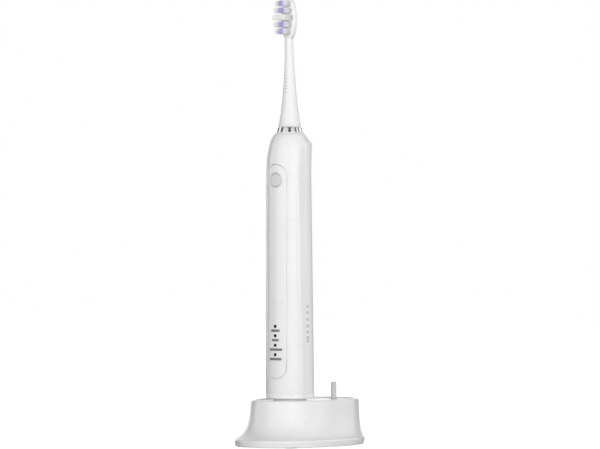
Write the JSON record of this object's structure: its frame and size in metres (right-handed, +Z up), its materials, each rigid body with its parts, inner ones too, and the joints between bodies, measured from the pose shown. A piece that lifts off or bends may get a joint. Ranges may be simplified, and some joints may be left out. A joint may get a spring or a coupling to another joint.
{
  "type": "electric toothbrush",
  "caption": "Sonic toothbrush with a long inset front panel and a white and violet brush head, standing upright on a flared oval charging base with a spare-head peg.",
  "frame": {"origin": "centre of the charging base's underside, level with its feet", "axes": "+Z up along the handle, -Y towards the front of the handle with its button and bristles, +X to the right of someone facing along +Y"},
  "size_m": [0.0646, 0.0976, 0.2798],
  "materials": {
    "gloss_white": "glossy white moulded plastic",
    "satin_white": "satin white moulded plastic",
    "casing_grey": "fine spark-eroded texture",
    "peg_grey": "satin",
    "rubber_grey": "matte",
    "rubber_black": "matte",
    "bright_chrome": "mirror bright",
    "steel": "ground",
    "natural_nylon": "natural nylon",
    "copper_wire": "enamelled copper wire",
    "ferrite": "sintered, dull",
    "laminated_iron": "stacked laminations",
    "magnet_nickel": "nickel plated",
    "bearing_bronze": "sintered bronze",
    "circuit_board": "solder resist",
    "chip_black": "moulded epoxy",
    "can_sleeve": "sleeved can",
    "cell_wrap": "shrink wrapped cell",
    "nickel_strip": "rolled",
    "led_package": "moulded, clear resin",
    "lens_dark": "polished, tinted",
    "bristle_white": "fine nylon filaments",
    "bristle_violet": "fine nylon filaments, white at the root"
  },
  "bodies": {
    "charger": {"base_shell": "gloss_white", "base_plate": "casing_grey", "base_feet": "rubber_grey", "base_screws": "steel", "charging_post": "gloss_white", "primary_bobbin": "natural_nylon", "primary_coil": "copper_wire", "primary_core": "ferrite", "charger_board": "circuit_board", "charger_transformer": "ferrite", "charger_capacitors": "can_sleeve", "charger_chips": "chip_black", "cord_gland": "casing_grey", "head_peg": "peg_grey"},
    "handle": {"handle_shell": "gloss_white", "rear_cover": "satin_white", "front_panel": "satin_white", "button_bezel": "satin_white", "indicator_lenses": "lens_dark", "seat_ring": "gloss_white", "collar_ring": "bright_chrome", "neck_seal": "rubber_grey", "bottom_cap": "gloss_white", "bottom_seal": "rubber_black", "receiver_bobbin": "natural_nylon", "receiver_coil": "copper_wire", "chassis": "casing_grey", "battery": "cell_wrap", "battery_tabs": "nickel_strip", "main_board": "circuit_board", "switch_body": "chip_black", "indicator_leds": "led_package", "control_chips": "chip_black", "motor_case": "steel", "motor_cover": "chip_black", "motor_screws": "steel", "stator_core": "laminated_iron", "stator_coils": "copper_wire", "front_bearing": "bearing_bronze", "rear_bearing": "bearing_bronze"},
    "drive": {"drive_shaft": "steel", "rotor_yoke": "laminated_iron", "rotor_magnets": "magnet_nickel"},
    "brush_head": {"head_body": "gloss_white", "head_ring": "satin_white", "shaft_clip": "steel", "bristles_white": "bristle_white", "bristles_violet": "bristle_violet"},
    "button": {"power_button": "satin_white"},
    "plunger": {"switch_plunger": "rubber_grey"}
  },
  "joints": [
    {"name": "handle_lift", "type": "slide", "parent": "charger", "child": "handle", "axis": [0, 0, 1], "range_m": [0, 0.04]},
    {"name": "drive_swing", "type": "hinge", "parent": "handle", "child": "drive", "pos_m": [0, -0.0105, 0.196], "axis": [0, 0, 1], "range_deg": [-5, 5], "stiffness_Nm_per_rad": 0.05},
    {"name": "head_pull_off", "type": "slide", "parent": "drive", "child": "brush_head", "axis": [0, 0, 1], "range_m": [0, 0.03]},
    {"name": "button_press", "type": "slide", "parent": "handle", "child": "button", "axis": [0, 1, 0], "range_m": [0, 0.0004], "stiffness_N_per_m": 800},
    {"name": "plunger_press", "type": "slide", "parent": "handle", "child": "plunger", "axis": [0, 1, 0], "range_m": [0, 0.0004]}
  ],
  "couplings": [
    {"joint": "plunger_press", "follows": "button_press", "ratio": 1}
  ]
}
